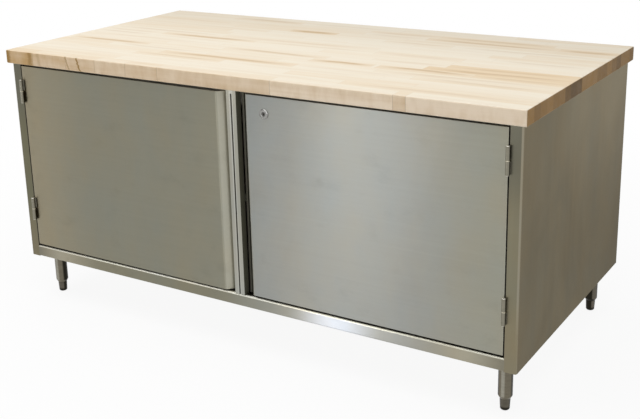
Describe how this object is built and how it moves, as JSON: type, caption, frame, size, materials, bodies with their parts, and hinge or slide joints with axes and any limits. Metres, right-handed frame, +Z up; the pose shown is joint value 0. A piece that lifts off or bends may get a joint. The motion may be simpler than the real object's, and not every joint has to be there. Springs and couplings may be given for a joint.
{
  "type": "cabinet workbench",
  "caption": "Stainless steel cabinet workbench with a maple butcher-block top, hinged doors with bevelled pull edges, a key lock, an inner shelf and adjustable bullet feet.",
  "frame": {"origin": "on the floor under the centre of the worktop", "axes": "+X along the length to the right seen from the doors, +Y to the back, +Z up"},
  "size_m": [1.8288, 0.9144, 0.8827],
  "materials": {
    "maple": "oiled maple butcher block",
    "cabinet_steel": "brushed",
    "door_steel": "brushed",
    "leg_steel": "satin",
    "foot_steel": "turned, dark",
    "hinge_steel": "satin",
    "washer_brass": "bright",
    "lock_chrome": "polished",
    "plated_steel": "zinc plated",
    "bumper_rubber": "matte",
    "catch_plastic": "moulded"
  },
  "bodies": {
    "cabinet": {"maple_top": "maple", "back_panel": "cabinet_steel", "cabinet_floor": "cabinet_steel", "interior_shelf": "cabinet_steel", "front_bottom_rail": "cabinet_steel", "front_top_rail": "cabinet_steel", "rear_top_rail": "cabinet_steel", "centre_mullion": "cabinet_steel", "left_end_panel": "cabinet_steel", "right_end_panel": "cabinet_steel", "left_shelf_bracket": "cabinet_steel", "right_shelf_bracket": "cabinet_steel", "left_top_channel": "cabinet_steel", "right_top_channel": "cabinet_steel", "front_left_leg_socket": "cabinet_steel", "front_right_leg_socket": "cabinet_steel", "rear_left_leg_socket": "cabinet_steel", "rear_right_leg_socket": "cabinet_steel", "front_left_leg": "leg_steel", "front_right_leg": "leg_steel", "rear_left_leg": "leg_steel", "rear_right_leg": "leg_steel", "left_upper_hinge_frame_knuckle": "hinge_steel", "left_lower_hinge_frame_knuckle": "hinge_steel", "right_upper_hinge_frame_knuckle": "hinge_steel", "right_lower_hinge_frame_knuckle": "hinge_steel", "left_upper_hinge_washer": "washer_brass", "left_lower_hinge_washer": "washer_brass", "right_upper_hinge_washer": "washer_brass", "right_lower_hinge_washer": "washer_brass", "top_screw_1": "plated_steel", "top_screw_2": "plated_steel", "top_screw_3": "plated_steel", "top_screw_4": "plated_steel", "left_door_bumper_1": "bumper_rubber", "left_door_bumper_2": "bumper_rubber", "right_door_bumper_1": "bumper_rubber", "right_door_bumper_2": "bumper_rubber", "left_magnet_catch": "catch_plastic", "right_magnet_catch": "catch_plastic"},
    "left_door": {"left_door_skin": "door_steel", "left_door_liner": "cabinet_steel", "left_strike_plate": "plated_steel", "left_upper_hinge_door_knuckle": "hinge_steel", "left_lower_hinge_door_knuckle": "hinge_steel"},
    "right_door": {"right_door_skin": "door_steel", "right_door_liner": "cabinet_steel", "right_strike_plate": "plated_steel", "right_upper_hinge_door_knuckle": "hinge_steel", "right_lower_hinge_door_knuckle": "hinge_steel", "lock_housing": "lock_chrome", "lock_nut": "plated_steel"},
    "lock_core": {"lock_plug": "lock_chrome", "lock_cam": "plated_steel"},
    "front_left_foot": {"front_left_foot": "foot_steel"},
    "front_right_foot": {"front_right_foot": "foot_steel"},
    "rear_left_foot": {"rear_left_foot": "foot_steel"},
    "rear_right_foot": {"rear_right_foot": "foot_steel"}
  },
  "joints": [
    {"name": "left_door_swing", "type": "hinge", "parent": "cabinet", "child": "left_door", "pos_m": [-0.8636, -0.451, 0.5], "axis": [0, 0, -1], "range_deg": [0, 170]},
    {"name": "right_door_swing", "type": "hinge", "parent": "cabinet", "child": "right_door", "pos_m": [0.8636, -0.451, 0.5], "axis": [0, 0, 1], "range_deg": [0, 170]},
    {"name": "lock_turn", "type": "hinge", "parent": "right_door", "child": "lock_core", "pos_m": [0.116, -0.4445, 0.7779], "axis": [0, 1, 0], "range_deg": [0, 90]},
    {"name": "front_left_foot_screw", "type": "slide", "parent": "cabinet", "child": "front_left_foot", "axis": [0, 0, -1], "range_m": [0, 0.025]},
    {"name": "front_right_foot_screw", "type": "slide", "parent": "cabinet", "child": "front_right_foot", "axis": [0, 0, -1], "range_m": [0, 0.025]},
    {"name": "rear_left_foot_screw", "type": "slide", "parent": "cabinet", "child": "rear_left_foot", "axis": [0, 0, -1], "range_m": [0, 0.025]},
    {"name": "rear_right_foot_screw", "type": "slide", "parent": "cabinet", "child": "rear_right_foot", "axis": [0, 0, -1], "range_m": [0, 0.025]}
  ]
}
